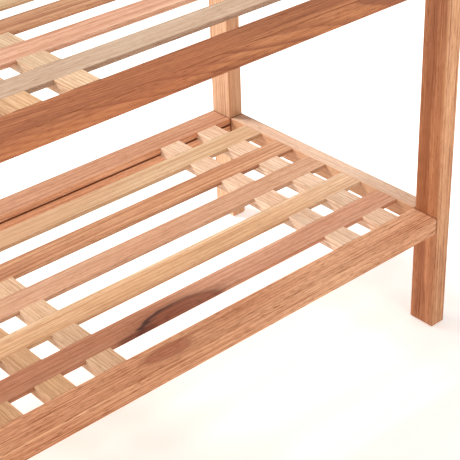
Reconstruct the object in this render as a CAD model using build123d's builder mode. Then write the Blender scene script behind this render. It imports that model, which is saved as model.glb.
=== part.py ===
"""Two-tier slatted entryway bench in solid walnut: a seat above an open shoe shelf.

Both tiers are the same flat frame: two long rails bolted between the legs, two side rails dowelled
between them, and a lattice of cross bars and long slats whose tops lie flush with the rails.

Frame: X runs along the bench to the right, Y from front to back, Z up. The origin is on the floor,
under the middle of the bench. All sizes are in millimetres.
"""

import os

from build123d import *

# %% Overall size
length = 1020.0
depth = 390.0
height = 450.0  # floor to the top of the seat
shelf_top = 150.0  # floor to the top of the lower shelf

# %% Frame stock
leg_x = 21.0  # leg thickness along the bench
leg_y = 35.0  # leg width from front to back
leg_round = 2.0  # radius on the long edges and the top of a leg
foot_chamfer = 1.5
rail_width = 35.0  # long rail, from front to back
rail_height = 20.0  # every rail, top to bottom
rail_setback = 1.0  # long rail behind the outer face of the legs
rail_round = 0.8  # radius on the long edges of a rail

# %% Lattice stock
slat_count = 5
slat_width = 31.0
slat_thickness = 5.0
bar_width = 30.0
bar_thickness = 12.0
bar_end_gap = 27.0  # from a side rail to the first cross bar
bar_pitch = 60.0  # between neighbouring cross bars of one group
end_group = 2  # cross bars near each end
middle_group = 3  # cross bars round the middle
lattice_round = 0.4  # eased edges of the slats and the cross bars

# %% Joinery
tongue_thickness = 2.5  # tongue on the ends of a cross bar
tongue_length = 7.0
tongue_play = 0.1  # all round the tongue, in its groove
groove_end_play = 1.0  # past the end of the tongue
notch_play = 0.1  # on each side of a slat, in its notch
tenon_width = 23.0  # tenon on the ends of a slat
tenon_thickness = 2.4
tenon_length = 6.0
tenon_play = 0.1
mortise_end_play = 0.5

# %% Fasteners
bolt_diameter = 6.0
bolt_hole_play = 0.5  # on the radius
bolt_head_diameter = 10.0
bolt_head_height = 6.0
bolt_head_recess = 0.5  # head below the face of the leg
counterbore_play = 0.5  # on the radius, round the head
bolt_point = 0.8
bolt_past_nut = 6.0  # bolt beyond the axis of its barrel nut
hex_across_corners = 5.8
hex_depth = 3.0
bolt_from_face = 8.5  # bolt axis behind the outer face of the leg
barrel_diameter = 10.0
barrel_length = 12.0
barrel_play = 0.1
barrel_from_end = 25.0  # barrel nut axis from the end of the rail
driver_slot_width = 1.4
driver_slot_depth = 1.5
dowel_diameter = 6.0
dowel_chamfer = 0.6
dowel_end_play = 1.0  # empty hole past each end of a dowel
dowel_from_face = 18.0  # rail dowel axis behind the outer face of the leg
rail_dowel_in_leg = 12.0
rail_dowel_in_rail = 15.0
side_dowel_in_rail = 15.0
side_dowel_spacing = 9.0  # between the two dowels of a side rail joint
dowel_web = 2.0  # wood left between a rail dowel and the side dowels
screw_diameter = 2.5
screw_head_diameter = 4.8
screw_hole_play = 0.1  # on the radius, in the cross bar
screw_in_slat = 3.2
screw_recess = 0.2  # head below the underside of the cross bar
screw_point = 1.0

# %% Places worked out from those sizes
tiers = {"shelf": shelf_top, "seat": height}
ends = {"left": -1, "right": 1}
rows = {"front": -1, "rear": 1}
inner_x = length / 2 - leg_x  # inner face of the legs and the side rails
leg_inner_y = depth / 2 - leg_y
rail_outer_y = depth / 2 - rail_setback
rail_inner_y = rail_outer_y - rail_width
bolt_y = depth / 2 - bolt_from_face
dowel_y = depth / 2 - dowel_from_face
side_dowel_in_leg = leg_y - dowel_from_face - dowel_diameter / 2 - dowel_web
tongue_drop = (slat_thickness + bar_thickness) / 2  # tier top to the middle of the tongue
slat_gap = (2 * rail_inner_y - slat_count * slat_width) / (slat_count + 1)
slat_ys = [
    -rail_inner_y + slat_gap + slat_width / 2 + i * (slat_gap + slat_width)
    for i in range(slat_count)
]
outermost_bar_x = inner_x - bar_end_gap - bar_width / 2
right_group = [outermost_bar_x - i * bar_pitch for i in range(end_group)]
left_group = [-x for x in right_group]
middle_xs = [(i - (middle_group - 1) / 2) * bar_pitch for i in range(middle_group)]
bar_xs = sorted(left_group + middle_xs + right_group)

os.makedirs("parts", exist_ok=True)


def facing(origin, direction):
    """A plane at origin whose normal is direction, so a hole drilled there runs the other way."""
    across = (0, 0, 1) if direction[2] == 0 else (1, 0, 0)
    return Plane(origin=origin, x_dir=across, z_dir=direction)


def keep(builder, name):
    """Label a finished piece and write it as its own STEP file."""
    builder.part.label = name
    export_step(builder.part, f"parts/{name}.step")


def middle_of(tier_top):
    """Height of the middle of a tier's rails, where its bolts and dowels lie."""
    return tier_top - rail_height / 2


# %% Where the fasteners sit, as planes that face out of the piece they enter


def bolt_planes(tier_top, end, row):
    """Outer face of a leg, where a bolt goes in."""
    return facing((end * length / 2, row * bolt_y, middle_of(tier_top)), (end, 0, 0))


def barrel_plane(tier_top, end, row):
    """Underside of a long rail, where a barrel nut is pushed up."""
    x = end * (inner_x - barrel_from_end)
    return facing((x, row * bolt_y, tier_top - rail_height), (0, 0, -1))


def rail_dowel_point(tier_top, end, row):
    """Where the dowel of a long rail crosses from the rail into the leg."""
    return (end * inner_x, row * dowel_y, middle_of(tier_top))


def side_dowel_points(tier_top, end, row):
    """Where the two dowels of a side rail cross into the leg, one above the other."""
    x = end * (length - leg_x) / 2
    z = middle_of(tier_top)
    shift = side_dowel_spacing / 2
    return [(x, row * leg_inner_y, z - shift), (x, row * leg_inner_y, z + shift)]


# %% Legs


def build_leg(end, row):
    """A leg that runs from the floor to the seat, drilled for the rails of both tiers."""
    centre_x = end * (length - leg_x) / 2
    centre_y = row * (depth - leg_y) / 2
    with BuildPart() as leg:
        with BuildSketch(Plane((centre_x, centre_y, 0))):
            Rectangle(leg_x, leg_y)
        extrude(amount=height)
        fillet(leg.edges().filter_by(Axis.Z), radius=leg_round)
        fillet(leg.faces().sort_by(Axis.Z)[-1].edges(), radius=leg_round / 2)
        chamfer(leg.faces().sort_by(Axis.Z)[0].edges(), length=foot_chamfer)
        for tier_top in tiers.values():
            with Locations(bolt_planes(tier_top, end, row)):
                CounterBoreHole(
                    radius=bolt_diameter / 2 + bolt_hole_play,
                    counter_bore_radius=bolt_head_diameter / 2 + counterbore_play,
                    counter_bore_depth=bolt_head_height + bolt_head_recess,
                    depth=leg_x,
                )
            with Locations(facing(rail_dowel_point(tier_top, end, row), (-end, 0, 0))):
                Hole(radius=dowel_diameter / 2, depth=rail_dowel_in_leg + dowel_end_play)
            for point in side_dowel_points(tier_top, end, row):
                with Locations(facing(point, (0, -row, 0))):
                    Hole(radius=dowel_diameter / 2, depth=side_dowel_in_leg + dowel_end_play)
    keep(leg, f"leg_{'front' if row < 0 else 'rear'}_{'left' if end < 0 else 'right'}")


# %% Rails


def build_long_rail(tier, row):
    """A front or rear rail, grooved along its inner face for the tongues of the cross bars."""
    tier_top = tiers[tier]
    outer_y = row * rail_outer_y
    inner_y = row * rail_inner_y
    with BuildPart() as rail:
        with BuildSketch(Plane((0, (outer_y + inner_y) / 2, tier_top - rail_height))):
            Rectangle(2 * inner_x, rail_width)
        extrude(amount=rail_height)
        fillet(rail.edges().filter_by(Axis.X), radius=rail_round)
        with BuildSketch(facing((0, inner_y, tier_top - tongue_drop), (0, -row, 0))):
            Rectangle(tongue_thickness + 2 * tongue_play, 2 * inner_x)
        extrude(amount=-(tongue_length + groove_end_play), mode=Mode.SUBTRACT)
        for end in ends.values():
            end_face = facing((end * inner_x, row * bolt_y, middle_of(tier_top)), (end, 0, 0))
            with Locations(end_face):
                Hole(
                    radius=bolt_diameter / 2 + bolt_hole_play,
                    depth=barrel_from_end + bolt_past_nut + dowel_end_play,
                )
            with Locations(barrel_plane(tier_top, end, row)):
                Hole(
                    radius=barrel_diameter / 2 + barrel_play,
                    depth=(rail_height + barrel_length) / 2 + barrel_play,
                )
            with Locations(facing(rail_dowel_point(tier_top, end, row), (end, 0, 0))):
                Hole(radius=dowel_diameter / 2, depth=rail_dowel_in_rail + dowel_end_play)
    keep(rail, f"{tier}_rail_{'front' if row < 0 else 'rear'}")


def build_side_rail(tier, end):
    """A side rail between the legs of one end, with a mortise for each long slat."""
    tier_top = tiers[tier]
    with BuildPart() as rail:
        with BuildSketch(Plane((end * (length - leg_x) / 2, 0, tier_top - rail_height))):
            Rectangle(leg_x, 2 * leg_inner_y)
        extrude(amount=rail_height)
        fillet(rail.edges().filter_by(Axis.Y), radius=rail_round)
        for y in slat_ys:
            tenon_z = tier_top - slat_thickness + tenon_thickness / 2
            with BuildSketch(facing((end * inner_x, y, tenon_z), (-end, 0, 0))):
                Rectangle(tenon_thickness + 2 * tenon_play, tenon_width + 2 * tenon_play)
            extrude(amount=-(tenon_length + mortise_end_play), mode=Mode.SUBTRACT)
        for row in rows.values():
            for point in side_dowel_points(tier_top, end, row):
                with Locations(facing(point, (0, row, 0))):
                    Hole(radius=dowel_diameter / 2, depth=side_dowel_in_rail + dowel_end_play)
    keep(rail, f"{tier}_rail_{'left' if end < 0 else 'right'}")


# %% Lattice


def build_slat(tier, number):
    """A long slat that lies in the notches of the cross bars and is tenoned into the side rails."""
    tier_top = tiers[tier]
    y = slat_ys[number - 1]
    underside = tier_top - slat_thickness
    with BuildPart() as slat:
        with BuildSketch(Plane((0, y, underside))):
            Rectangle(2 * inner_x, slat_width)
        extrude(amount=slat_thickness)
        fillet(slat.edges().filter_by(Axis.X), radius=lattice_round)
        for end in ends.values():
            tenon_z = underside + tenon_thickness / 2
            with BuildSketch(facing((end * inner_x, y, tenon_z), (end, 0, 0))):
                Rectangle(tenon_thickness, tenon_width)
            extrude(amount=tenon_length)
        with Locations(*[facing((x, y, underside), (0, 0, -1)) for x in bar_xs]):
            Hole(radius=screw_diameter / 2, depth=screw_in_slat)
    keep(slat, f"{tier}_slat_{number}")


def build_bar(tier, number):
    """A cross bar, notched flush for the slats, with a tongue at each end for the rail grooves."""
    tier_top = tiers[tier]
    x = bar_xs[number - 1]
    underside = tier_top - bar_thickness
    with BuildPart() as bar:
        with BuildSketch(Plane((x, 0, underside))):
            Rectangle(bar_width, 2 * rail_inner_y)
        extrude(amount=bar_thickness)
        fillet(bar.edges().filter_by(Axis.Y), radius=lattice_round)
        for y in slat_ys:
            with BuildSketch(Plane((x, y, tier_top))):
                Rectangle(bar_width, slat_width + 2 * notch_play)
            extrude(amount=-slat_thickness, mode=Mode.SUBTRACT)
        for row in rows.values():
            tongue_root = (x, row * rail_inner_y, tier_top - tongue_drop)
            with BuildSketch(facing(tongue_root, (0, row, 0))):
                Rectangle(tongue_thickness, bar_width - 2 * lattice_round)
            extrude(amount=tongue_length)
        with Locations(*[facing((x, y, underside), (0, 0, -1)) for y in slat_ys]):
            CounterSinkHole(
                radius=screw_diameter / 2 + screw_hole_play,
                counter_sink_radius=screw_head_diameter / 2 + screw_recess,
                depth=bar_thickness,
                counter_sink_angle=90,
            )
    keep(bar, f"{tier}_bar_{number}")


# %% Fasteners: each node holds the identical ones of a tier


def build_bolts(tier):
    """Four socket-head bolts, sunk in the outer faces of the legs."""
    corners = [bolt_planes(tiers[tier], end, row) for end in ends.values() for row in rows.values()]
    tops = [corner.offset(-bolt_head_recess) for corner in corners]
    seats = [top.offset(-bolt_head_height) for top in tops]
    in_leg = leg_x - bolt_head_height - bolt_head_recess
    shank = in_leg + barrel_from_end + bolt_past_nut
    with BuildPart() as bolts:
        with BuildSketch(*tops):
            Circle(bolt_head_diameter / 2)
            RegularPolygon(radius=hex_across_corners / 2, side_count=6, mode=Mode.SUBTRACT)
        extrude(amount=-hex_depth)
        with BuildSketch(*seats):
            Circle(bolt_head_diameter / 2)
        extrude(amount=bolt_head_height - hex_depth)
        with BuildSketch(*seats):
            Circle(bolt_diameter / 2)
        extrude(amount=-(shank - bolt_point))
        with BuildSketch(*[seat.offset(-(shank - bolt_point)) for seat in seats]):
            Circle(bolt_diameter / 2)
        extrude(amount=-bolt_point, taper=45)
    keep(bolts, f"{tier}_bolts")


def build_barrel_nuts(tier):
    """Four barrel nuts in the long rails, cross-drilled for the bolts, with a driver slot."""
    drop = (rail_height - barrel_length) / 2
    corners = [barrel_plane(tiers[tier], end, row) for end in ends.values() for row in rows.values()]
    bottoms = [corner.offset(-drop) for corner in corners]
    with BuildPart() as nuts:
        with BuildSketch(*bottoms):
            Circle(barrel_diameter / 2)
        extrude(amount=-barrel_length)
        for end in ends.values():
            for row in rows.values():
                middle = (end * inner_x, row * bolt_y, middle_of(tiers[tier]))
                with Locations(facing(middle, (end, 0, 0))):
                    Hole(radius=bolt_diameter / 2, depth=barrel_from_end + barrel_diameter)
        with BuildSketch(*bottoms):
            Rectangle(driver_slot_width, barrel_diameter)
        extrude(amount=-driver_slot_depth, mode=Mode.SUBTRACT)
    keep(nuts, f"{tier}_barrel_nuts")


def build_dowels(name, starts, dowel_length):
    """Dowels of one length with chamfered ends, each running inwards from its starting plane."""
    with BuildPart() as dowels:
        with BuildSketch(*starts):
            Circle(dowel_diameter / 2)
        extrude(amount=-dowel_length)
        chamfer(dowels.edges().filter_by(GeomType.CIRCLE), length=dowel_chamfer)
    keep(dowels, name)


def build_rail_dowels(tier):
    """One dowel beside each bolt, which stops a long rail from turning."""
    starts = []
    for end in ends.values():
        for row in rows.values():
            joint = facing(rail_dowel_point(tiers[tier], end, row), (end, 0, 0))
            starts.append(joint.offset(rail_dowel_in_leg))
    build_dowels(f"{tier}_rail_dowels", starts, rail_dowel_in_leg + rail_dowel_in_rail)


def build_side_dowels(tier):
    """Two dowels in each joint of a side rail with a leg."""
    starts = []
    for end in ends.values():
        for row in rows.values():
            for point in side_dowel_points(tiers[tier], end, row):
                starts.append(facing(point, (0, row, 0)).offset(side_dowel_in_leg))
    build_dowels(f"{tier}_side_dowels", starts, side_dowel_in_leg + side_dowel_in_rail)


def build_screws(tier):
    """Small countersunk screws, driven up through the cross bars into the slats."""
    underside = tiers[tier] - bar_thickness
    head_height = (screw_head_diameter - screw_diameter) / 2
    tip_z = tiers[tier] - slat_thickness + screw_in_slat
    shank = tip_z - screw_point - (underside + screw_recess)
    spots = [(x, y) for x in bar_xs for y in slat_ys]
    heads = [Plane((x, y, underside + screw_recess)) for x, y in spots]
    with BuildPart() as screws:
        with BuildSketch(*heads):
            Circle(screw_head_diameter / 2)
        extrude(amount=head_height, taper=45)
        with BuildSketch(*heads):
            Circle(screw_diameter / 2)
        extrude(amount=shank)
        with BuildSketch(*[head.offset(shank) for head in heads]):
            Circle(screw_diameter / 2)
        extrude(amount=screw_point, taper=45)
    keep(screws, f"{tier}_screws")


# %% Build every piece

for end in ends.values():
    for row in rows.values():
        build_leg(end, row)

for tier in tiers:
    for row in rows.values():
        build_long_rail(tier, row)
    for end in ends.values():
        build_side_rail(tier, end)
    for number in range(1, slat_count + 1):
        build_slat(tier, number)
    for number in range(1, len(bar_xs) + 1):
        build_bar(tier, number)
    build_bolts(tier)
    build_barrel_nuts(tier)
    build_rail_dowels(tier)
    build_side_dowels(tier)
    build_screws(tier)
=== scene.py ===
# %% [markdown]
# # A slatted walnut bench, dressed
#
# The bench arrives finished as a shape: every leg, rail, slat and cross bar is already the right size,
# with its grooves, notches, mortises, eased edges and screws. What it lacks is wood. This lesson keeps
# each board where it is and works out a walnut that looks sawn from a log: growth rings, pores, streaks,
# sapwood, knots, edges polished by handling and paler with a painted highlight, and dark lines where
# boards meet, partly dark end grain and partly painted shadow in the gaps. A few faces also get painted
# light or shade. Each board is cut from its own place in its own log, so no two are alike.

# %% Load the bench
import math

import bpy
from mathutils import Matrix, Vector


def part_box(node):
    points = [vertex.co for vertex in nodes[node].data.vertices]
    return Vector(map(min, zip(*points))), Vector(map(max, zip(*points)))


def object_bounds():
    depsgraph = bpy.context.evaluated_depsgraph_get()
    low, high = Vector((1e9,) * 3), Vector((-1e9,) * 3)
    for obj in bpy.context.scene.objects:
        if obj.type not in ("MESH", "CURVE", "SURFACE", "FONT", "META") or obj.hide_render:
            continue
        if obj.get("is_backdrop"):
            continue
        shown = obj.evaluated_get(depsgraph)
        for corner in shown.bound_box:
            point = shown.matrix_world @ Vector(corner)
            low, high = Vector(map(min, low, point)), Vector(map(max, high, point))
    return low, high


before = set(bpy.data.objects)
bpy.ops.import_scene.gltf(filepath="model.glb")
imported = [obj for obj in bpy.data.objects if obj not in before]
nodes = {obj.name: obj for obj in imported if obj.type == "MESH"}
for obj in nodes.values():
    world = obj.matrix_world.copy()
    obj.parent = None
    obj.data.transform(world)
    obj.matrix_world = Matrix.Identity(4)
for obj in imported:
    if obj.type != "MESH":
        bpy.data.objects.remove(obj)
bench_low, bench_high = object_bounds()
bench_size = [round(high - low, 3) for low, high in zip(bench_low, bench_high)]
print("bench", bench_size, "m,", len(nodes), "nodes")

# %% [markdown]
# ## Camera
#
# The close view looks down from the front left, along the shelf, at the right-hand legs. A camera can be
# aimed with a constraint, but a constraint is one more thing to go wrong later. Here the aim is worked
# out once: the direction from the camera to a spot on the shelf, and a small roll about that direction.

# %% Camera
SENSOR_WIDTH = 36.0  # millimetres, as in a full-frame camera
LENS = 103.6  # millimetres
ROLL = -2.2  # degrees about the line of sight
shelf_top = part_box("shelf_rail_front")[1].z
camera_place = Vector((-0.510, -1.017, 0.9285))
camera_spot = Vector((0.3057, -0.0484, shelf_top))


def aim_from(place, spot):
    """The turn that points a camera's or a lamp's own -Z axis from place at spot, with its Y axis up."""
    return (spot - place).to_track_quat("-Z", "Y").to_matrix().to_4x4()


def add_camera(place, spot, lens, roll_degrees):
    """A camera at place that looks at spot, then turned by roll_degrees about its own line of sight."""
    data = bpy.data.cameras.new("close_view")
    data.lens = lens
    data.sensor_width = SENSOR_WIDTH
    data.dof.use_dof = False
    camera = bpy.data.objects.new("close_view", data)
    bpy.context.scene.collection.objects.link(camera)
    roll = Matrix.Rotation(math.radians(roll_degrees), 4, "Z")
    camera.matrix_world = Matrix.Translation(place) @ aim_from(place, spot) @ roll
    bpy.context.scene.camera = camera


add_camera(camera_place, camera_spot, LENS, ROLL)
print("camera", round((camera_spot - camera_place).length, 2), "m from the shelf")

# %% [markdown]
# ## Floor and studio light
#
# The bench stands on white paper. The main light comes from behind it on the left, so that it rakes
# across the slats and shows every gap. It could be an area lamp, but one near enough to be bright lights
# the seat much more than the shelf under it. A sun with a wide disc is as soft, and both tiers get the
# same. A weak lamp stands near the floor in front: from down there it reaches the front faces, and the
# slats' edges stay dark. A dim world fills what is left, and the paper glows a little of itself.

# %% Floor
FLOOR_HALF_WIDTH = 9.0  # metres, far past every edge of the view
FLOOR_DROP = -0.0004  # metres, so that paper and feet are never in one plane
FLOOR_GLOW = 0.40
PAPER = (0.94, 0.91, 0.88, 1)
PAPER_GLOW = (0.93, 0.97, 1.0, 1)


def add_floor(half_width):
    """One square of pale paper a hair's breadth under the feet, with a little glow of its own."""
    corners = [(-half_width, -half_width, FLOOR_DROP), (half_width, -half_width, FLOOR_DROP),
               (half_width, half_width, FLOOR_DROP), (-half_width, half_width, FLOOR_DROP)]
    mesh = bpy.data.meshes.new("floor")
    mesh.from_pydata(corners, [], [(0, 1, 2, 3)])
    floor = bpy.data.objects.new("floor", mesh)
    bpy.context.scene.collection.objects.link(floor)
    paper = bpy.data.materials.new("white_paper")
    paper.use_nodes = True
    shader = paper.node_tree.nodes["Principled BSDF"]
    shader.inputs["Base Color"].default_value = PAPER
    shader.inputs["Roughness"].default_value = 0.9
    shader.inputs["Emission Color"].default_value = PAPER_GLOW
    shader.inputs["Emission Strength"].default_value = FLOOR_GLOW
    mesh.materials.append(paper)
    floor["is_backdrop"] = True


add_floor(FLOOR_HALF_WIDTH)
print("floor", 2 * FLOOR_HALF_WIDTH, "m across")

# %% Lights
KEY_FROM = Vector((-1.0, 1.9, 1.6))  # behind the bench, on the left
KEY_STRENGTH = 4.7
KEY_ANGLE = 24.0  # degrees across the disc
KEY_COLOUR = (1.0, 0.99, 0.97)
FRONT_SPOT = Vector((0.15, 0.0, 0.2))  # the part of the bench that the front lamp faces
FRONT_PLACE = FRONT_SPOT + Vector((-0.3, -2.2, 0.15))
FRONT_SIZE = 1.0  # metres across
FRONT_WATTS = 17.0
FRONT_COLOUR = (1.0, 0.95, 0.88)
WORLD_STRENGTH = 0.58
WORLD_COLOUR = (1.0, 0.93, 0.86, 1)


def add_soft_lamp(name, place, spot, size, watts, colour):
    """A square soft lamp of that size at place, turned to face spot."""
    data = bpy.data.lights.new(name, "AREA")
    data.shape = "SQUARE"
    data.size = size
    data.energy = watts
    data.color = colour
    lamp = bpy.data.objects.new(name, data)
    bpy.context.scene.collection.objects.link(lamp)
    lamp.matrix_world = Matrix.Translation(place) @ aim_from(place, spot)


def add_sun(name, direction, strength, angle, colour):
    """A sun that shines from that direction onto the bench, with a disc that many degrees across."""
    data = bpy.data.lights.new(name, "SUN")
    data.energy = strength
    data.angle = math.radians(angle)
    data.color = colour
    sun = bpy.data.objects.new(name, data)
    bpy.context.scene.collection.objects.link(sun)
    sun.matrix_world = Matrix.Translation(direction) @ aim_from(direction, Vector())


add_sun("key", KEY_FROM, KEY_STRENGTH, KEY_ANGLE, KEY_COLOUR)
add_soft_lamp("front", FRONT_PLACE, FRONT_SPOT, FRONT_SIZE, FRONT_WATTS, FRONT_COLOUR)

world = bpy.data.worlds.new("light_tent")
bpy.context.scene.world = world
world.use_nodes = True
background = world.node_tree.nodes["Background"]
background.inputs["Color"].default_value = WORLD_COLOUR
background.inputs["Strength"].default_value = WORLD_STRENGTH
bpy.context.scene.view_settings.view_transform = "Standard"
print("studio set")

# %% [markdown]
# ## Writing a material as arithmetic
#
# A wood that is worked out from its place in the log needs a few dozen nodes. Wired one by one they are
# hard to read, so this small class lets a material be written as sums: each method adds a node and
# returns its output, and any input may be a number or another output.


# %% A short way to write node trees
class Sums:
    """A node tree written as arithmetic. Every method adds one node and returns its output socket."""

    def __init__(self, tree):
        self.tree = tree

    def put(self, socket, value):
        """Wires value into the socket if it is an output, and otherwise sets it as a plain value."""
        if isinstance(value, bpy.types.NodeSocket):
            self.tree.links.new(value, socket)
        else:
            socket.default_value = value

    def math(self, operation, first, second=0.0):
        """One sum on two numbers, or on one number where the operation takes only one."""
        node = self.tree.nodes.new("ShaderNodeMath")
        node.operation = operation
        for socket, value in zip(node.inputs, (first, second)):
            self.put(socket, value)
        return node.outputs[0]

    def add(self, first, second):
        """The sum of two numbers."""
        return self.math("ADD", first, second)

    def times(self, first, second):
        """The product of two numbers."""
        return self.math("MULTIPLY", first, second)

    def vector(self, operation, first, second=(0, 0, 0)):
        """One sum on two vectors. A length and a dot product come out as a number."""
        node = self.tree.nodes.new("ShaderNodeVectorMath")
        node.operation = operation
        self.put(node.inputs[0], first)
        if operation == "SCALE":
            self.put(node.inputs["Scale"], second)
            return node.outputs["Vector"]
        self.put(node.inputs[1], second)
        gives_number = operation in ("LENGTH", "DOT_PRODUCT")
        return node.outputs["Value" if gives_number else "Vector"]

    def split(self, place):
        """The x, y and z of a vector, as three numbers."""
        node = self.tree.nodes.new("ShaderNodeSeparateXYZ")
        self.put(node.inputs[0], place)
        return node.outputs

    def join(self, x, y, z):
        """Three numbers as one vector."""
        node = self.tree.nodes.new("ShaderNodeCombineXYZ")
        for socket, value in zip(node.inputs, (x, y, z)):
            self.put(socket, value)
        return node.outputs[0]

    def noise(self, place, detail=2.0, roughness=0.5):
        """Smooth noise from 0 to 1, one lump for each whole step of place."""
        node = self.tree.nodes.new("ShaderNodeTexNoise")
        self.put(node.inputs["Vector"], place)
        node.inputs["Scale"].default_value = 1.0
        node.inputs["Detail"].default_value = detail
        node.inputs["Roughness"].default_value = roughness
        return node.outputs["Fac"]

    def dice(self, number):
        """A random value from 0 to 1 that stays the same for the same number."""
        node = self.tree.nodes.new("ShaderNodeTexWhiteNoise")
        node.noise_dimensions = "1D"
        self.put(node.inputs["W"], number)
        return node.outputs["Value"]

    def rise(self, value, start, end):
        """0 below start, 1 above end, with a smooth step between. It falls if end is below start."""
        node = self.tree.nodes.new("ShaderNodeMapRange")
        node.interpolation_type = "SMOOTHSTEP"
        self.put(node.inputs["Value"], value)
        self.put(node.inputs["From Min"], start)
        self.put(node.inputs["From Max"], end)
        return node.outputs["Result"]

    def blend(self, amount, first, second, kind="MIX"):
        """A colour: first where amount is 0. second replaces it, or multiplies it, where amount is 1."""
        node = self.tree.nodes.new("ShaderNodeMix")
        node.data_type = "RGBA"
        node.blend_type = kind
        self.put(node.inputs["Factor"], amount)
        self.put(node.inputs[6], first)
        self.put(node.inputs[7], second)
        return node.outputs[2]


# %% Colours under the studio lamps
SHARE = 0.8  # the lamps are bright, so a surface reflects only a share of what it seems to


def seen(red, green, blue):
    """The linear colour for a node that looks, under the studio lamps, like this one from 0 to 255."""
    parts = [value / 255 for value in (red, green, blue)]
    linear = [part / 12.92 if part < 0.04045 else ((part + 0.055) / 1.055) ** 2.4 for part in parts]
    return tuple(SHARE * part for part in linear) + (1.0,)


# %% [markdown]
# ## How a plank gets its figure
#
# Cut a log lengthways and the growth rings show as long lines, as arches where the saw runs nearly along
# a ring, and as arcs on the end grain. All three come from one idea: the distance of a point from the
# pith, the centre line of the log. A fixed image could not wrap round a board's corners like this, but
# a sum in the board's own place and direction does, on every face and in every mortise.
#
# Over the rings lie slow streaks of colour, fine fibres, and walnut's pores: short dark dashes, most of
# them in the pale early wood of each ring. Edges are a little paler, partly where hands have polished
# them and partly as a painted highlight on the rounded arris. End grain is dark, because it soaks up
# oil, and where one board ends at another the dark line is also painted shadow of the gap between them.
#
# All of this goes into one node group, which the boards share. A group is changed in one place, and each
# board only sets its inputs: its place, its log, its colours, and how strong each feature is.

# %% Inputs and outputs of the walnut figure
FIGURE_INPUTS = {
    "Place": "NodeSocketVector",  # metres from the board's middle, with x along the grain
    "Half size": "NodeSocketVector",
    "Joint": "NodeSocketFloat",  # metres from the middle to where the board meets another
    "Log": "NodeSocketVector",  # another log for every board
    "Pith": "NodeSocketVector",  # centre line of the log, seen from the board's middle
    "Runout": "NodeSocketVector",  # how far the log leans away from the board, per metre
    "Ring": "NodeSocketFloat",  # metres from ring to ring
    "Ring depth": "NodeSocketFloat",  # how strong the rings are, and below, each other feature
    "Streaks": "NodeSocketFloat",
    "Lines": "NodeSocketFloat",
    "Pores": "NodeSocketFloat",
    "Blush": "NodeSocketFloat",
    "Curl": "NodeSocketFloat",
    "Pale": "NodeSocketColor",
    "Dark": "NodeSocketColor",
    "Blush colour": "NodeSocketColor",
}
FIGURE_OUTPUTS = {
    "Colour": "NodeSocketColor",
    "Roughness": "NodeSocketFloat",
    "Height": "NodeSocketFloat",
}


def add_group(name, inputs, outputs):
    """A new node group, with its input and output sockets given by title and kind."""
    group = bpy.data.node_groups.new(name, "ShaderNodeTree")
    for title, kind in inputs.items():
        group.interface.new_socket(title, in_out="INPUT", socket_type=kind)
    for title, kind in outputs.items():
        group.interface.new_socket(title, in_out="OUTPUT", socket_type=kind)
    return group


figure_group = add_group("walnut_figure", FIGURE_INPUTS, FIGURE_OUTPUTS)
s = Sums(figure_group)
given = figure_group.nodes.new("NodeGroupInput").outputs
taken = figure_group.nodes.new("NodeGroupOutput").inputs


def stretched(sums, sockets, along, across, slide=0.0):
    """The board's place in steps of a pattern: along steps a metre down the grain, across over it.

    slide moves the pattern to another part of the log, so that two patterns don't fall together.
    """
    steps = sums.vector("MULTIPLY", sockets["Place"], (along, across, across))
    shift = sums.vector("SCALE", sockets["Log"], 1.0 + slide)
    return sums.vector("ADD", steps, shift)


def grain_noise(along, across, slide=0.0, **shape):
    """Noise that is drawn out along the grain of the walnut figure."""
    return s.noise(stretched(s, given, along, across, slide), **shape)


# %% Growth rings
WANDER = 0.016  # metres that the pith wanders as the trunk bends
RIPPLE = 0.0018  # metres of unevenness in each ring

lean = s.vector("SCALE", given["Runout"], s.split(given["Place"])[0])
from_centre = s.split(s.vector("SUBTRACT", s.vector("ADD", given["Place"], lean), given["Pith"]))
bend = s.times(s.add(grain_noise(2.2, 4.0), -0.5), WANDER)
lift = s.times(s.add(grain_noise(1.7, 4.0, slide=0.37), -0.5), WANDER)
ripple = s.times(s.add(grain_noise(14.0, 60.0, detail=3.0), -0.5), RIPPLE)
from_pith = s.vector("LENGTH", s.join(0.0, s.add(from_centre[1], bend), s.add(from_centre[2], lift)))
ring_count = s.math("DIVIDE", s.add(from_pith, ripple), given["Ring"])
ring_part = s.math("FRACT", ring_count)
late = s.times(s.rise(ring_part, 0.35, 0.90), s.rise(ring_part, 1.0, 0.93))
darkness_of_year = s.add(0.25, s.times(s.dice(s.math("FLOOR", ring_count)), 0.75))
late = s.times(late, darkness_of_year)

# %% Streaks, lines, pores, blush and curl
streak = s.rise(grain_noise(3.2, 85.0, detail=4.0, roughness=0.6), 0.36, 0.66)
fibre = s.rise(grain_noise(16.0, 700.0, detail=2.0, roughness=0.6), 0.30, 0.75)
gather = s.rise(grain_noise(7.0, 70.0, slide=0.61, detail=2.0), 0.30, 0.62)
line = s.times(s.rise(grain_noise(11.0, 900.0, slide=0.19, detail=2.0), 0.50, 0.66), gather)
open_wood = s.add(1.0, s.times(late, -0.6))
pore = s.times(s.rise(grain_noise(85.0, 1400.0, detail=1.0), 0.56, 0.68), open_wood)
blush = s.rise(grain_noise(5.5, 15.0, detail=2.0), 0.40, 0.68)
curl = s.rise(grain_noise(36.0, 62.0, slide=0.83, detail=2.5), 0.42, 0.64)
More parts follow.
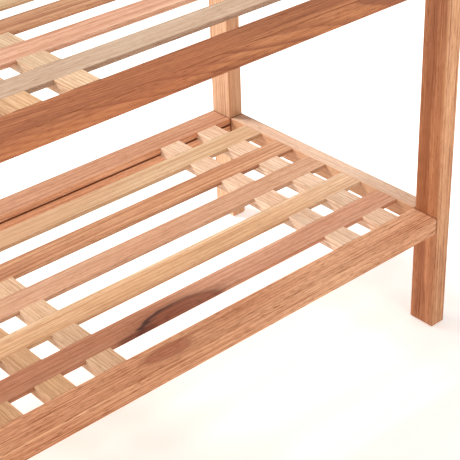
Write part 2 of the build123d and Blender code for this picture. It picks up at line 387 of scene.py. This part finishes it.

# %% Polished edges with a painted highlight, and darkened ends with painted joint shadow
# At an edge, two of a point's three distances to the faces are near zero, so the middle one of the three
# tells how near the edge is. Distances here are in metres, and negative inside the board.
EDGE_BAND = (-0.0016, -0.0002)
END_BAND = (-0.0030, -0.0006)
away = s.vector("SUBTRACT", s.vector("ABSOLUTE", given["Place"]), given["Half size"])
away_x, away_y, away_z = s.split(away)
nearer = s.math("MAXIMUM", s.math("MINIMUM", away_x, away_y),
                s.math("MINIMUM", s.math("MAXIMUM", away_x, away_y), away_z))
chafe = s.rise(grain_noise(70.0, 160.0, detail=2.0), 0.30, 0.60)
# Paler edges: partly wear, partly a painted highlight where the rounded arris catches the light.
edge = s.times(s.rise(nearer, *EDGE_BAND), chafe)
from_middle = s.split(s.vector("ABSOLUTE", given["Place"]))[0]
# Dark ends: end grain, and where a board meets another, painted shadow of the gap in the joint.
end = s.rise(s.math("SUBTRACT", from_middle, given["Joint"]), *END_BAND)

# %% Colour of the walnut
LATE_TINT = (0.80, 0.70, 0.60, 1)
LINE_TINT = (0.52, 0.36, 0.25, 1)
PORE_TINT = (0.45, 0.30, 0.20, 1)
FIBRE_TINT = (0.82, 0.75, 0.67, 1)
CURL_TINT = (0.80, 0.72, 0.66, 1)
# The edge tint stands for wear and for a painted highlight on the arris.
EDGE_WEAR_AND_HIGHLIGHT_TINT = (1.09, 1.10, 1.11, 1)
# The end tint stands for dark end grain and for painted shadow in the joints.
END_GRAIN_AND_JOINT_SHADE_TINT = (0.38, 0.27, 0.20, 1)

ground = s.blend(s.times(late, given["Ring depth"]), given["Pale"], given["Dark"])
ground = s.blend(s.times(streak, given["Streaks"]), ground, given["Dark"])
ground = s.blend(s.times(blush, given["Blush"]), ground, given["Blush colour"])
ground = s.blend(fibre, ground, FIBRE_TINT, kind="MULTIPLY")
ground = s.blend(s.times(late, given["Ring depth"]), ground, LATE_TINT, kind="MULTIPLY")
ground = s.blend(s.times(curl, given["Curl"]), ground, CURL_TINT, kind="MULTIPLY")
ground = s.blend(s.times(line, given["Lines"]), ground, LINE_TINT, kind="MULTIPLY")
ground = s.blend(s.times(pore, given["Pores"]), ground, PORE_TINT, kind="MULTIPLY")
# Edges take wear and a painted highlight; ends take end grain and painted joint shadow.
ground = s.blend(edge, ground, EDGE_WEAR_AND_HIGHLIGHT_TINT, kind="MULTIPLY")
ground = s.blend(end, ground, END_GRAIN_AND_JOINT_SHADE_TINT, kind="MULTIPLY")
s.put(taken["Colour"], ground)

# %% Roughness and height of the walnut
# Late wood and polished edges shine more than the rest. Pores and lines are rough, and lie deeper.
roughness = s.add(0.56, s.times(late, -0.05))
roughness = s.add(roughness, s.times(pore, 0.20))
roughness = s.add(roughness, s.times(line, 0.10))
roughness = s.add(roughness, s.times(edge, -0.07))
s.put(taken["Roughness"], roughness)
relief = s.add(s.times(fibre, -0.25), s.times(late, 0.25))
relief = s.add(relief, s.times(line, -0.6))
s.put(taken["Height"], s.add(relief, s.times(pore, -1.0)))
print("walnut figure:", len(figure_group.nodes), "nodes")

# %% [markdown]
# ## Where a knot sits
#
# A knot is the root of a branch. The grain parts round it, and a dark rim marks where the branch's bark
# was swallowed. It is an oval on the face of the board, so a second group gives three masks for an oval:
# the patch inside it, its rim, and the lines of the grain that flows round it. The rim is drawn hard on
# one side and dies away on the other, as it does where the saw passes over a branch at a slant.

# %% The oval of a knot
KNOT_INPUTS = dict.fromkeys(("Place", "Centre", "Reach", "Log"), "NodeSocketVector")
KNOT_OUTPUTS = dict.fromkeys(("Patch", "Rim", "Flow"), "NodeSocketFloat")
knot_group = add_group("knot_figure", KNOT_INPUTS, KNOT_OUTPUTS)
k = Sums(knot_group)
knot_given = knot_group.nodes.new("NodeGroupInput").outputs
knot_taken = knot_group.nodes.new("NodeGroupOutput").inputs

# The distance from the knot's centre is 1 on the oval. Two noises make the oval uneven.
swirl = k.noise(stretched(k, knot_given, 13.0, 34.0), detail=3.0)
wisp = k.noise(stretched(k, knot_given, 20.0, 260.0), detail=3.0)
from_knot = k.vector("SUBTRACT", knot_given["Place"], knot_given["Centre"])
offset = k.vector("DIVIDE", from_knot, knot_given["Reach"])
oval = k.vector("LENGTH", offset)
oval = k.add(oval, k.times(k.add(swirl, -0.5), 0.75))
oval = k.add(oval, k.times(k.add(wisp, -0.5), 0.30))

# %% Patch, rim and flow of a knot
FLOW_LINES = 9.0  # steps of the flow's noise for each oval further out

k.put(knot_taken["Patch"], k.rise(oval, 1.10, 0.78))
hard_side = k.add(0.30, k.times(k.rise(k.split(offset)[0], 0.9, -0.5), 0.70))
rim = k.times(k.rise(oval, 0.80, 0.96), k.rise(oval, 1.14, 1.0))
k.put(knot_taken["Rim"], k.times(rim, hard_side))
flow_start = k.vector("SCALE", knot_given["Log"], 1.7)
flow = k.noise(k.vector("ADD", flow_start, k.join(k.times(oval, FLOW_LINES), 0.0, 0.0)), detail=2.0)
k.put(knot_taken["Flow"], k.times(k.rise(flow, 0.45, 0.62), k.rise(oval, 2.1, 0.8)))
print("knot figure:", len(knot_group.nodes), "nodes")

# %% [markdown]
# ## One material for each board
#
# Real benches are glued up from whatever boards are in the stack, and this one shows it: a yellow
# sapwood slat beside a striped brown one and a pink one. Each board's material is the same figure with
# its own log, its own distance to the pith and its own three colours. A far pith gives straight lines, a
# near one gives arches. A board that was sawn across the line between heart and sap drifts from one tone
# to another, along its length or from face to face. So it may be given drifts: a direction, and where
# along it the second tone sets in. The same drifts also serve as painted light and shade on some faces.

# %% Grain direction of each board
TURN = {  # how to lay the pattern's x axis along the board
    "X": (0.0, 0.0, 0.0),
    "Y": (0.0, 0.0, math.radians(90)),
    "Z": (0.0, math.radians(-90), 0.0),
}


def grain_of(node_name):
    """The axis that a board's grain runs along: legs stand, and side rails and cross bars run across."""
    if node_name.startswith("leg_"):
        return "Z"
    if "_bar_" in node_name or node_name.endswith(("_rail_left", "_rail_right")):
        return "Y"
    return "X"


def board_axes(size, grain):
    """A board's size in the pattern's axes: length along the grain, width across it, and thickness."""
    if grain == "X":
        return Vector((size.x, size.y, size.z))
    if grain == "Y":
        return Vector((size.y, size.x, size.z))
    return Vector((size.z, size.y, size.x))


# %% Where a board meets the next one
TENON = 0.006  # metres of a slat that go into a side rail, at each end
FAINTER = 0.0020  # metres that the dark end is moved out by, on slats and legs, to leave a thinner line
PLAIN_END = 1.0  # metres: far past any end, so that no line is drawn


# The dark end line at a joint is partly painted shadow of the gap between the boards.
def joint_of(node_name, half_length):
    """How far from its middle a board's end is dark. A slat's is at its tenon. A bar's is hidden."""
    if "_slat_" in node_name:
        return half_length - TENON + FAINTER
    if node_name.startswith("leg_"):
        return half_length + FAINTER
    return half_length if "_rail_" in node_name else PLAIN_END


# %% Drifts and knots
DRIFT_LUMPS = (6.0, 90.0, 90.0)  # noise steps a metre: along the grain, across it and through the board
DRIFT_WOBBLE = 1.2  # how far a drift's border wanders, as a share of its width


def add_drift(sums, place, log, colour, side, start, end, tint):
    """Multiplies a board's colour by tint, more and more from start to end along side, in metres."""
    distance = sums.vector("DOT_PRODUCT", place, Vector(side))
    slow = sums.vector("MULTIPLY", place, DRIFT_LUMPS)
    wobble = sums.noise(sums.vector("ADD", slow, log), detail=3.0)
    wander = sums.times(sums.add(wobble, -0.5), abs(end - start) * DRIFT_WOBBLE)
    amount = sums.rise(sums.add(distance, wander), start, end)
    return sums.blend(amount, colour, tint, kind="MULTIPLY")


def add_knot(sums, place, log, colour, centre, reach, patch_colour, rim_colour, patch, rim, flow):
    """Lays a knot's patch, flow and rim over a board's colour, in the board's own axes."""
    knot = sums.tree.nodes.new("ShaderNodeGroup")
    knot.node_tree = knot_group
    knot_values = {"Place": place, "Centre": Vector(centre), "Reach": Vector(reach), "Log": log}
    for title, value in knot_values.items():
        sums.put(knot.inputs[title], value)
    colour = sums.blend(sums.times(knot.outputs["Patch"], patch), colour, patch_colour)
    colour = sums.blend(sums.times(knot.outputs["Flow"], flow), colour, rim_colour)
    return sums.blend(sums.times(knot.outputs["Rim"], rim), colour, rim_colour)


# %% The board's own axes
def board_place(tree, middle, grain):
    """The place on a board in metres from its middle, with x along its grain."""
    mapping = tree.nodes.new("ShaderNodeMapping")
    mapping.vector_type = "TEXTURE"
    mapping.inputs["Location"].default_value = middle
    mapping.inputs["Rotation"].default_value = TURN[grain]
    on_bench = tree.nodes.new("ShaderNodeTexCoord").outputs["Object"]
    tree.links.new(on_bench, mapping.inputs["Vector"])
    return mapping.outputs["Vector"]


def set_relief(sums, shader, height, strength, depth):
    """Wires a height to the shader as bumps, depth metres deep."""
    bump = sums.tree.nodes.new("ShaderNodeBump")
    bump.inputs["Strength"].default_value = strength
    bump.inputs["Distance"].default_value = depth
    sums.put(bump.inputs["Height"], height)
    sums.put(shader.inputs["Normal"], bump.outputs["Normal"])


# %% The board material
LOG_STEP = (7.31, 3.17, 5.53)  # noise steps from one board's log to the next one's
WOOD_SHEEN = 0.28  # an oiled surface reflects less than a varnished one
WOOD_RELIEF = 0.0002  # metres


def figured_wood(node_name, number, pale, dark, blush_colour, ring, pith, ring_depth=0.5, streaks=0.5,
                 lines=0.5, pores=0.5, blush=0.3, curl=0.0, runout=(0.0, 0.0), drifts=(), knots=(),
                 species="walnut"):
    """Wood for one board, cut from the log of that number.

    pith is how far the log's centre is from the board's middle, across and through the board, in metres.
    """
    low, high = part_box(node_name)
    grain = grain_of(node_name)
    half = board_axes((high - low) / 2, grain)
    log = Vector([number * step for step in LOG_STEP])
    material = bpy.data.materials.new(f"{species}_{node_name}")
    material.use_nodes = True
    tree = material.node_tree
    sums = Sums(tree)
    place = board_place(tree, (low + high) / 2, grain)
    figure = tree.nodes.new("ShaderNodeGroup")
    figure.node_tree = figure_group
    figure_values = {
        "Place": place, "Half size": half, "Joint": joint_of(node_name, half.x), "Log": log,
        "Pith": Vector((0.0, *pith)), "Runout": Vector((0.0, *runout)), "Ring": ring,
        "Ring depth": ring_depth, "Streaks": streaks, "Lines": lines, "Pores": pores, "Blush": blush,
        "Curl": curl, "Pale": pale, "Dark": dark, "Blush colour": blush_colour,
    }
    for title, value in figure_values.items():
        sums.put(figure.inputs[title], value)
    colour = figure.outputs["Colour"]
    for drift in drifts:
        colour = add_drift(sums, place, log, colour, **drift)
    for knot in knots:
        colour = add_knot(sums, place, log, colour, **knot)
    shader = tree.nodes["Principled BSDF"]
    sums.put(shader.inputs["Base Color"], colour)
    sums.put(shader.inputs["Roughness"], figure.outputs["Roughness"])
    shader.inputs["Specular IOR Level"].default_value = WOOD_SHEEN
    set_relief(sums, shader, figure.outputs["Height"], strength=0.4, depth=WOOD_RELIEF)
    return material


# %% Put a material on a piece
def dress(node_name, material):
    """Puts one material in a finished piece's own slot. The piece's shape and place stay as they are."""
    mesh = nodes[node_name].data
    mesh.materials.clear()
    mesh.materials.append(material)


# %% [markdown]
# ## The stack of boards
#
# Colours are picked for the face of each board: the pale early wood, the dark late wood and streaks, and
# a blush for the slow patches. Straight-grained boards have the pith far off to one side. The front rail
# of the seat was sawn at a slant to its log, so its rings run out in long arches.

# %% Colours in the stack
def tones(pale, dark, blush_colour):
    """A board's three colours as they look under the studio lamps, from 0 to 255 a channel."""
    return dict(pale=seen(*pale), dark=seen(*dark), blush_colour=seen(*blush_colour))


YELLOW = tones((232, 205, 170), (206, 161, 121), (224, 183, 149))
BROWN = tones((229, 181, 142), (175, 113, 80), (209, 150, 112))
PINK = tones((226, 186, 157), (199, 144, 112), (217, 160, 127))
TAN = tones((245, 209, 170), (215, 162, 117), (235, 186, 140))
ROSE = tones((246, 199, 171), (210, 147, 118), (228, 164, 132))
RAIL = tones((254, 198, 158), (208, 138, 98), (235, 159, 117))
LEG = tones((233, 169, 123), (166, 99, 63), (208, 130, 87))
FAIR_LEG = tones((241, 204, 171), (217, 161, 122), (243, 189, 148))
REAR = tones((223, 174, 143), (182, 123, 94), (203, 142, 110))
SIDE = tones((249, 223, 202), (222, 181, 156), (239, 198, 172))
FAWN = tones((222, 199, 177), (199, 161, 136), (213, 176, 151))
UMBER = tones((206, 138, 89), (145, 80, 46), (187, 109, 67))

# %% [markdown]
# ## Legs and rails
#
# A face that was sawn nearer the sapwood is paler and yellower than the one beside it. A drift across
# the board does this: it sets in a little way under that face. Other drifts across the board are painted
# light and shade: a face is made paler or darker for the way the lamps light it. A drift's side is given
# in the board's own axes, x along the grain, y across the board and z through it, and its start and end
# in metres.

# %% Legs
LEG_LOGS = 1  # number of the first leg's log: every board's number is different
SAP_FRONT = dict(side=(0, -1, 0), start=0.0115, end=0.0165, tint=(1.12, 1.32, 1.46, 1))
# Painted shade: the rear leg's front face, out of the key light, and its back face, full in it, are
# darker.
PAINTED_SHADE_LEG_FRONT = dict(side=(0, -1, 0), start=0.0150, end=0.0172, tint=(0.86, 0.76, 0.68, 1))
PAINTED_SHADE_LEG_BACK = dict(side=(0, 1, 0), start=0.0120, end=0.0165, tint=(0.78, 0.68, 0.60, 1))
leg_boards = {
    "leg_front_right": dict(LEG, ring=0.0046, streaks=0.6, lines=0.9, pores=0.6, curl=0.45,
                            pith=(0.02, 0.09), drifts=[SAP_FRONT]),
    "leg_rear_right": dict(FAIR_LEG, ring=0.0040, ring_depth=0.6, streaks=0.4, lines=0.5, pores=0.3,
                           pith=(0.07, 0.03), drifts=[PAINTED_SHADE_LEG_FRONT, PAINTED_SHADE_LEG_BACK]),
    "leg_front_left": dict(RAIL, ring=0.0044, streaks=0.6, lines=0.6, pores=0.5, curl=0.3,
                           pith=(-0.04, 0.06)),
    "leg_rear_left": dict(REAR, ring=0.0038, streaks=0.5, lines=0.5, pores=0.5, curl=0.2,
                          pith=(0.01, 0.05)),
}
for number, (node_name, look) in enumerate(leg_boards.items(), start=LEG_LOGS):
    dress(node_name, figured_wood(node_name, number, **look))
print("legs dressed:", ", ".join(leg_boards))

# %% Second tones, painted light and shade, and the knot of the rails
side_low, side_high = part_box("shelf_rail_right")
SIDE_HALF = (side_high.x - side_low.x) / 2
PALE_RIGHT = dict(side=(1, 0, 0), start=0.16, end=0.32, tint=(1.12, 1.22, 1.30, 1))
# Painted shade: the shelf's front rail is a little darker on its front face than the lamps leave it.
PAINTED_SHADE_RAIL_FRONT = dict(side=(0, -1, 0), start=0.0162, end=0.0172, tint=(0.89, 0.87, 0.83, 1))
# Painted light: the rear rail's inner face, which lies in shade, is made paler and warmer.
PAINTED_LIGHT_INSIDE = dict(side=(0, -1, 0), start=0.0155, end=0.0170, tint=(1.32, 1.26, 1.14, 1))
# Painted shade: the right side rail's inner face is made darker, where the slats shade it.
PAINTED_SHADE_INSIDE = dict(side=(0, 1, 0), start=SIDE_HALF - 0.0014, end=SIDE_HALF - 0.0004,
                   tint=(0.84, 0.66, 0.50, 1))
COOL_TOP = dict(side=(0, 0, 1), start=-0.002, end=0.006, tint=(0.95, 0.96, 1.05, 1))
RAIL_KNOT = dict(centre=(0.113, 0.001, 0.010), reach=(0.030, 0.010, 0.02), patch=0.55, rim=0.2,
                 flow=0.35, patch_colour=seen(176, 98, 72), rim_colour=seen(150, 84, 60))

# %% Rails
RAIL_LOGS = 11
rail_boards = {
    "shelf_rail_front": dict(RAIL, ring=0.0034, ring_depth=0.6, streaks=0.4, lines=1.0, pores=0.9,
                             pith=(0.07, 0.06), drifts=[PALE_RIGHT, PAINTED_SHADE_RAIL_FRONT], knots=[RAIL_KNOT]),
    "shelf_rail_rear": dict(REAR, ring=0.0050, streaks=0.35, lines=0.5, pores=0.5, pith=(-0.06, 0.07),
                            drifts=[PAINTED_LIGHT_INSIDE]),
    "shelf_rail_right": dict(SIDE, ring=0.0040, ring_depth=0.35, streaks=0.2, lines=0.35, pores=0.5,
                             blush=0.4, pith=(0.06, 0.05), drifts=[PAINTED_SHADE_INSIDE]),
    "shelf_rail_left": dict(RAIL, ring=0.0040, streaks=0.4, lines=0.5, pores=0.5, pith=(0.03, 0.06)),
    "seat_rail_front": dict(UMBER, ring=0.0036, ring_depth=0.7, streaks=0.6, lines=0.7, pores=0.6,
                            blush=0.5, pith=(0.045, 0.050), runout=(0.03, 0.12), drifts=[COOL_TOP]),
    "seat_rail_rear": dict(REAR, ring=0.0045, streaks=0.5, lines=0.5, pores=0.5, pith=(0.05, 0.08)),
    "seat_rail_right": dict(TAN, ring=0.0042, streaks=0.3, lines=0.4, pores=0.4, pith=(0.05, 0.05)),
    "seat_rail_left": dict(ROSE, ring=0.0042, streaks=0.5, lines=0.5, pores=0.5, pith=(-0.03, 0.05)),
}
for number, (node_name, look) in enumerate(rail_boards.items(), start=RAIL_LOGS):
    dress(node_name, figured_wood(node_name, number, **look))
print("rails dressed:", len(rail_boards))

# %% [markdown]
# ## Slats and cross bars
#
# The slats are the part of the bench that is looked at most, so each has its own colours and figure. The
# first slat of the shelf has a large knot, with a narrow second patch beside it, and turns darker on its
# left. The second and the fourth grow paler at their right-hand ends. The bars are made paler at their
# front ends: painted light, against the shadow that the seat's rear rail casts on them.

# %% Second tones and the knots of the slats
DARK_LEFT = dict(side=(-1, 0, 0), start=-0.215, end=-0.135, tint=(0.74, 0.62, 0.54, 1))
SAP_STRIP = dict(side=(0, 1, 0), start=0.0095, end=0.0115, tint=(1.08, 1.20, 1.32, 1))
SAP_END = dict(side=(1, 0, 0), start=0.34, end=0.47, tint=(1.05, 1.13, 1.28, 1))
PALE_END = dict(side=(1, 0, 0), start=0.36, end=0.47, tint=(1.08, 1.15, 1.24, 1))
LARGE_KNOT = dict(centre=(0.166, -0.0165, 0.0), reach=(0.056, 0.0185, 0.02), patch=0.75, rim=0.95,
                  flow=0.25, patch_colour=seen(136, 70, 46), rim_colour=seen(72, 42, 38))
NARROW_PATCH = dict(centre=(0.112, -0.0165, 0.0), reach=(0.028, 0.0040, 0.02), patch=0.75, rim=0.2,
                    flow=0.0, patch_colour=seen(118, 62, 44), rim_colour=seen(90, 48, 38))

# %% Slats, from the front to the back
SLAT_LOGS = {"shelf": 21, "seat": 31}
slat_boards = {
    "shelf": [
        dict(ROSE, ring=0.0050, streaks=0.35, lines=0.4, pores=0.5, pith=(0.06, 0.05),
             drifts=[DARK_LEFT], knots=[LARGE_KNOT, NARROW_PATCH]),
        dict(TAN, ring=0.0045, streaks=0.45, lines=0.5, pores=0.4, pith=(-0.06, 0.05),
             drifts=[SAP_STRIP, SAP_END]),
        dict(PINK, ring=0.0042, streaks=0.35, lines=0.4, pores=0.5, pith=(0.07, 0.05)),
        dict(BROWN, ring=0.0048, ring_depth=0.65, streaks=0.6, lines=0.5, pores=0.5, pith=(0.05, 0.05),
             drifts=[PALE_END]),
        dict(YELLOW, ring=0.0070, ring_depth=0.5, streaks=0.55, lines=0.4, pores=0.3, blush=0.6,
             pith=(0.05, 0.04)),
    ],
    "seat": [
        dict(FAWN, ring=0.0042, streaks=0.4, lines=0.5, pores=0.5, pith=(0.05, 0.08)),
        dict(ROSE, ring=0.0046, streaks=0.5, lines=0.5, pores=0.5, pith=(-0.02, 0.04)),
        dict(BROWN, ring=0.0052, ring_depth=0.8, streaks=0.6, lines=0.6, pores=0.5, pith=(0.04, 0.06)),
        dict(YELLOW, ring=0.0050, streaks=0.4, lines=0.4, pores=0.3, pith=(0.02, 0.08)),
        dict(PINK, ring=0.0044, streaks=0.4, lines=0.5, pores=0.5, pith=(-0.05, 0.05)),
    ],
}
for tier, looks in slat_boards.items():
    for place_from_front, look in enumerate(looks):
        node_name = f"{tier}_slat_{place_from_front + 1}"
        dress(node_name, figured_wood(node_name, SLAT_LOGS[tier] + place_from_front, **look))
print("slats dressed:", sum(len(looks) for looks in slat_boards.values()))

# %% Cross bars, from the left to the right
BAR_LOGS = {"shelf": 41, "seat": 51}
CREAM = tones((253, 229, 206), (216, 172, 139), (244, 206, 177))
OAT = tones((242, 215, 184), (198, 154, 120), (230, 192, 157))
WHEAT = tones((230, 193, 155), (183, 135, 98), (216, 172, 131))
# Painted light: the bars' front ends are paler, against the shadow that the seat's rear rail casts.
PAINTED_LIGHT_FRONT_END = dict(side=(-1, 0, 0), start=0.100, end=0.128, tint=(1.15, 1.15, 1.14, 1))
BAR_LOOK = dict(ring=0.0034, ring_depth=0.5, streaks=0.3, lines=0.4, pores=0.5, blush=0.5,
                drifts=[PAINTED_LIGHT_FRONT_END])
bar_boards = [(OAT, (0.06, 0.04)), (CREAM, (-0.05, 0.05)), (WHEAT, (0.08, 0.05)), (WHEAT, (0.06, 0.05)),
              (OAT, (-0.07, 0.05)), (CREAM, (0.07, 0.06)), (CREAM, (0.05, 0.04))]
for tier in slat_boards:
    for place_from_left, (colours, pith) in enumerate(bar_boards):
        node_name = f"{tier}_bar_{place_from_left + 1}"
        number = BAR_LOGS[tier] + place_from_left
        dress(node_name, figured_wood(node_name, number, pith=pith, **colours, **BAR_LOOK))
print("cross bars dressed:", len(BAR_LOGS) * len(bar_boards))

# %% [markdown]
# ## Fasteners
#
# The bolts and barrel nuts are zinc-plated steel: a metal with fine lines left by the lathe and a
# slightly milky bloom. The screws are brass. The dowels are beech, a pale and even wood, so they take
# the same figure in beech colours, with narrow and shallow rings.


# %% Turned metal
BLOOM_LUMPS = (420.0, 420.0, 420.0)  # noise steps a metre
SCRATCHES = (300.0, 4200.0, 4200.0)  # noise steps a metre: long along the bolts, fine across them
METAL_RELIEF = 0.00005  # metres


def turned_metal(name, bright, dull, roughness):
    """A metal with a cloudy mix of two tints, and with fine scratches in its roughness and height."""
    material = bpy.data.materials.new(name)
    material.use_nodes = True
    tree = material.node_tree
    sums = Sums(tree)
    shader = tree.nodes["Principled BSDF"]
    shader.inputs["Metallic"].default_value = 1.0
    place = tree.nodes.new("ShaderNodeTexCoord").outputs["Object"]
    bloom = sums.noise(sums.vector("MULTIPLY", place, BLOOM_LUMPS), detail=3.0)
    scratch = sums.noise(sums.vector("MULTIPLY", place, SCRATCHES), detail=2.0)
    sums.put(shader.inputs["Base Color"], sums.blend(sums.rise(bloom, 0.35, 0.7), bright, dull))
    sums.put(shader.inputs["Roughness"], sums.add(roughness, sums.times(scratch, 0.18)))
    set_relief(sums, shader, scratch, strength=0.25, depth=METAL_RELIEF)
    return material


# %% Dress the fasteners
zinc = turned_metal("zinc_steel", seen(206, 208, 210), seen(170, 172, 176), roughness=0.22)
brass = turned_metal("brass_screws", seen(214, 178, 108), seen(176, 136, 76), roughness=0.26)
DOWEL_LOGS = 61
BEECH = tones((222, 184, 142), (196, 152, 110), (214, 170, 128))
BEECH_LOOK = dict(ring=0.003, ring_depth=0.3, streaks=0.2, pores=0.6, blush=0.2, pith=(0.02, 0.03))
for number, tier in enumerate(slat_boards, start=DOWEL_LOGS):
    dress(f"{tier}_bolts", zinc)
    dress(f"{tier}_barrel_nuts", zinc)
    dress(f"{tier}_screws", brass)
    for kind in ("rail_dowels", "side_dowels"):
        node_name = f"{tier}_{kind}"
        dress(node_name, figured_wood(node_name, number, species="beech", **BEECH, **BEECH_LOOK))
print("fasteners dressed")

# %% [markdown]
# ## Measure the size again
#
# Nothing here moves or grows the bench, so the box measured at the start and the box measured now should
# be the same. The box is measured again here; only the first one is printed.

# %% Measure the box again
bench_low, bench_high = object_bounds()
